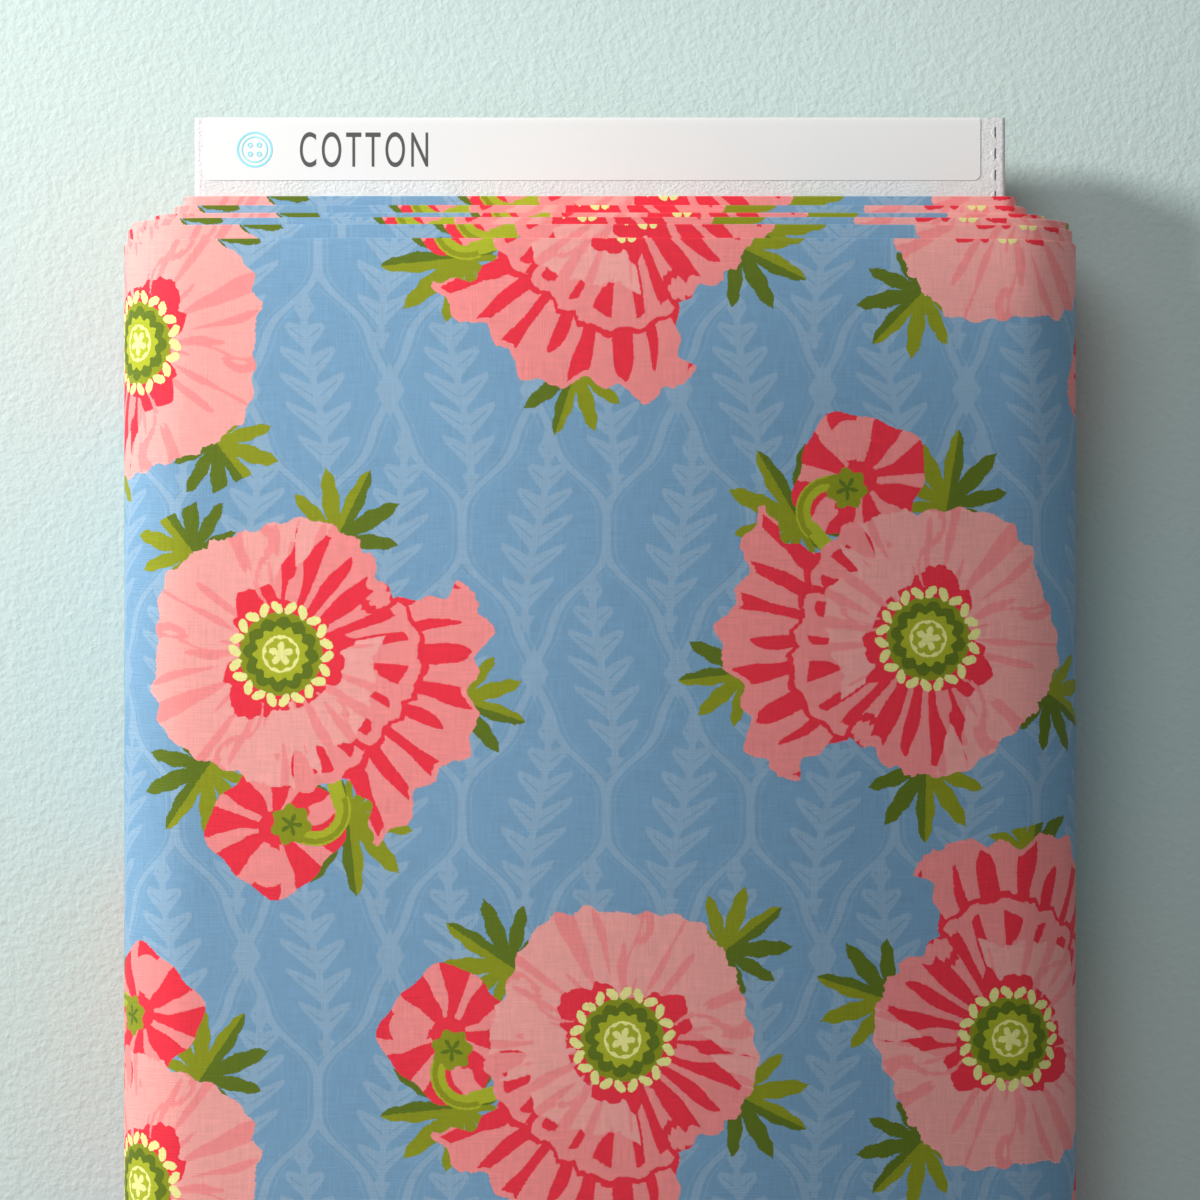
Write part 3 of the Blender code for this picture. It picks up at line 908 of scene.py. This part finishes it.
class BOLT_OT_last_turn(bpy.types.Operator):
    """Lay the outermost turn, in three stretches"""
    bl_idname = "bolt.last_turn"
    bl_label = "Last turn"

    def execute(self, context):
        cloth = context.scene.bolt_cloth
        fine = cloth.bend_facets
        radii, _ = winding(cloth)
        quarter = radii[-1] * math.pi / 2
        side = CORE_HIGH - CORE_LOW
        top = -CORE_X - quarter
        low = top - side - quarter
        drop = CORE_HIGH - FREE_END[0].z
        loose_edge = (CORE_X, CORE_HIGH - drop)
        split = 0.090
        pieces = (
            ("last_turn_underside", "wound_cloth", "turn_side", ("last_turn_back",),
             (-CORE_X, 0.0, 0.0), (-LAST_FACE[1].x, 0.0, CORE_LOW),
             (("bottom", LOW_RIGHT, LOW_LEFT, 24, (low - 2 * CORE_X, low)),
              ("bend", LOW_LEFT, (-90, -180), fine, (low, low + quarter)),
              ("left", LOW_LEFT, MIDDLE_LEFT, 5, (low + quarter, low + quarter + side / 2)))),
            ("last_turn_over_the_side", "turn_side", "turn_face", ("last_turn_side", "last_turn_face"),
             (-LAST_FACE[1].x, 0.0, CORE_HIGH), (-CORE_X, 0.0, HEIGHT),
             (("left", MIDDLE_LEFT, TOP_LEFT, 5, (top - side / 2, top)),
              ("bend", TOP_LEFT, (-180, -270), fine, (top, -CORE_X)),
              ("top", TOP_LEFT, (split, CORE_HIGH), 48, (-CORE_X, split)))),
            ("last_turn_free_end_hanging", "turn_face", "turn_free_end", ("last_turn_free_end",),
             (CORE_X, 0.0, HEIGHT), (FREE_END[1].x, 0.0, CORE_HIGH),
             (("top", (split, CORE_HIGH), TOP_RIGHT, 4, (split, CORE_X)),
              ("bend", TOP_RIGHT, (90, 0), fine, (CORE_X, CORE_X + quarter)),
              ("right", TOP_RIGHT, loose_edge, 12, (CORE_X + quarter, CORE_X + quarter + drop)))),
        )
        for name, first, second, nodes, start, end, legs in pieces:
            piece = lay(last_turn(cloth, legs), name, cloth, 26)
            dress(piece, cloth)
            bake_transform(piece)
            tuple(start)
            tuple(end)
            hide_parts(*nodes)
            length = legs[-1][4][1] - legs[0][4][0]
        return {"FINISHED"}


class BOLT_OT_board(bpy.types.Operator):
    """Give the folded card board its pulp finish and cut creases"""
    bl_idname = "bolt.board"
    bl_label = "Bolt board"

    def execute(self, context):
        board = context.scene.bolt_board
        # The front panel's finish carries the crease cuts as painted shade, with a painted highlight on each
        # lip.
        plain, cut = pulp_card(board, "pulp_card"), pulp_card(board, "pulp_card_with_painted_slit_shade", True)
        for name, node in frame["nodes"].items():
            if node.get("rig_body") in ("board", "end_flap", "end_tongue") and name != "label":
                node.data.materials.clear()
                node.data.materials.append(cut if name == "board_front_panel" else plain)
        return {"FINISHED"}


class BOLT_OT_label(bpy.types.Operator):
    """Fold the sticker over the board's end, with a button emblem and the cloth's name"""
    bl_idname = "bolt.label"
    bl_label = "Label"

    def execute(self, context):
        board = context.scene.bolt_board
        paper = sheet_label(board, "end_sticker")
        paper.data.materials.append(sticker_paper(board))
        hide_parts("label")
        x, middle = EMBLEM_X, BOARD_TOP - EMBLEM_DROP
        rims = ((x, middle, 0.0042, 0.00375, 40), (x, middle, 0.0031, 0.0028, 40))
        off = (-0.00105, 0.00105)
        holes = [(x + a, middle + b, 0.00062, 0.00030, 20) for a in off for b in off]
        rings = [
            (circle(cx, cy, outer, count), circle(cx, cy, inner, count))
            for cx, cy, outer, inner, count in (*rims, *holes)
        ]
        emblem = flat_print("button_emblem", rings)
        emblem.data.materials.append(printing_ink("emblem_ink", board.emblem_blue))
        left, width, height = LETTERING
        words = letter_mesh("cotton_lettering", "COTTON", left, middle, height, width)
        words.data.materials.append(printing_ink("lettering_ink", board.ink))
        for piece in (paper, emblem, words):
            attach(piece, "board")
        return {"FINISHED"}


class BOLT_OT_stage(bpy.types.Operator):
    """Lay the pale floor, hang the soft light and set the camera over the bolt"""
    bl_idname = "bolt.stage"
    bl_label = "Stage"

    def execute(self, context):
        studio = context.scene.bolt_studio
        level = -0.0002
        backdrop("floor", [(x, y, level) for x, y in ((-4, -4), (4, -4), (4, 4), (-4, 4))], plaster(studio))
        aim = Vector((0.0, BOARD_TOP - 0.113, HEIGHT / 2))
        for name, away, size, power, tint in (
            ("key", (-0.78, 0.38, 0.50), 0.24, studio.key, (1.0, 0.985, 0.965)),
            ("soft_top", (-0.44, 0.75, 1.3), 0.8, studio.key * 0.56, (0.94, 0.98, 1.0)),
        ):
            lamp = bpy.data.lights.new(name, "AREA")
            lamp.shape, lamp.size, lamp.energy, lamp.color = "DISK", size, power, tint
            light = bpy.data.objects.new(name, lamp)
            context.scene.collection.objects.link(light)
            light.location = aim + Vector(away)
            light.rotation_euler = (-Vector(away)).to_track_quat("-Z", "Y").to_euler()
        low, high, across = HEIGHT + 0.139, HEIGHT + 0.60, -0.20
        corners = [(across, y, z) for y, z in ((-0.7, low), (0.36, low), (0.36, high), (-0.7, high))]
        felt = Finish("black_felt", Roughness=1.0, Base_Color=(0.01, 0.01, 0.01))
        flag = backdrop("light_flag", corners, felt.material)
        flag.visible_camera = flag.visible_glossy = False
        world = bpy.data.worlds.new("studio")
        context.scene.world = world
        world.use_nodes = True
        background = world.node_tree.nodes["Background"]
        background.inputs["Color"].default_value = (0.90, 0.95, 0.96, 1.0)
        background.inputs["Strength"].default_value = studio.fill
        eye = bpy.data.cameras.new("overhead")
        eye.lens, eye.sensor_width, eye.clip_start, eye.clip_end = studio.lens, 36.0, 0.01, 50.0
        camera = bpy.data.objects.new("overhead", eye)
        context.scene.collection.objects.link(camera)
        camera.location = (aim.x, aim.y, HEIGHT + studio.distance)
        context.scene.camera = camera
        context.scene.view_settings.view_transform = "Standard"
        return {"FINISHED"}


class BOLT_PT_parts(bpy.types.Panel):
    bl_label = "Fabric bolt"
    bl_idname = "BOLT_PT_parts"
    bl_space_type = "VIEW_3D"
    bl_region_type = "UI"
    bl_category = "Fabric Bolt"

    def draw(self, context):
        for group in (context.scene.bolt_cloth, context.scene.bolt_board, context.scene.bolt_studio):
            box = self.layout.box()
            for name in group.__annotations__:
                box.prop(group, name)
        for operator in OPERATORS:
            self.layout.operator(operator.bl_idname)


GROUPS = {"bolt_cloth": BoltCloth, "bolt_board": BoltBoard, "bolt_studio": BoltStudio}
OPERATORS = (BOLT_OT_stage, BOLT_OT_wound_cloth, BOLT_OT_last_turn, BOLT_OT_board, BOLT_OT_label)


def register():
    for group in GROUPS.values():
        bpy.utils.register_class(group)
    for name, group in GROUPS.items():
        setattr(bpy.types.Scene, name, PointerProperty(type=group))
    for made in (*OPERATORS, BOLT_PT_parts):
        bpy.utils.register_class(made)


def unregister():
    for made in (BOLT_PT_parts, *reversed(OPERATORS)):
        bpy.utils.unregister_class(made)
    for name, group in GROUPS.items():
        delattr(bpy.types.Scene, name)
        bpy.utils.unregister_class(group)


def main():
    register()
    bpy.ops.bolt.stage()
    bpy.ops.bolt.wound_cloth()
    bpy.ops.bolt.last_turn()
    bpy.ops.bolt.board()
    bpy.ops.bolt.label()


if __name__ == "__main__":
    main()
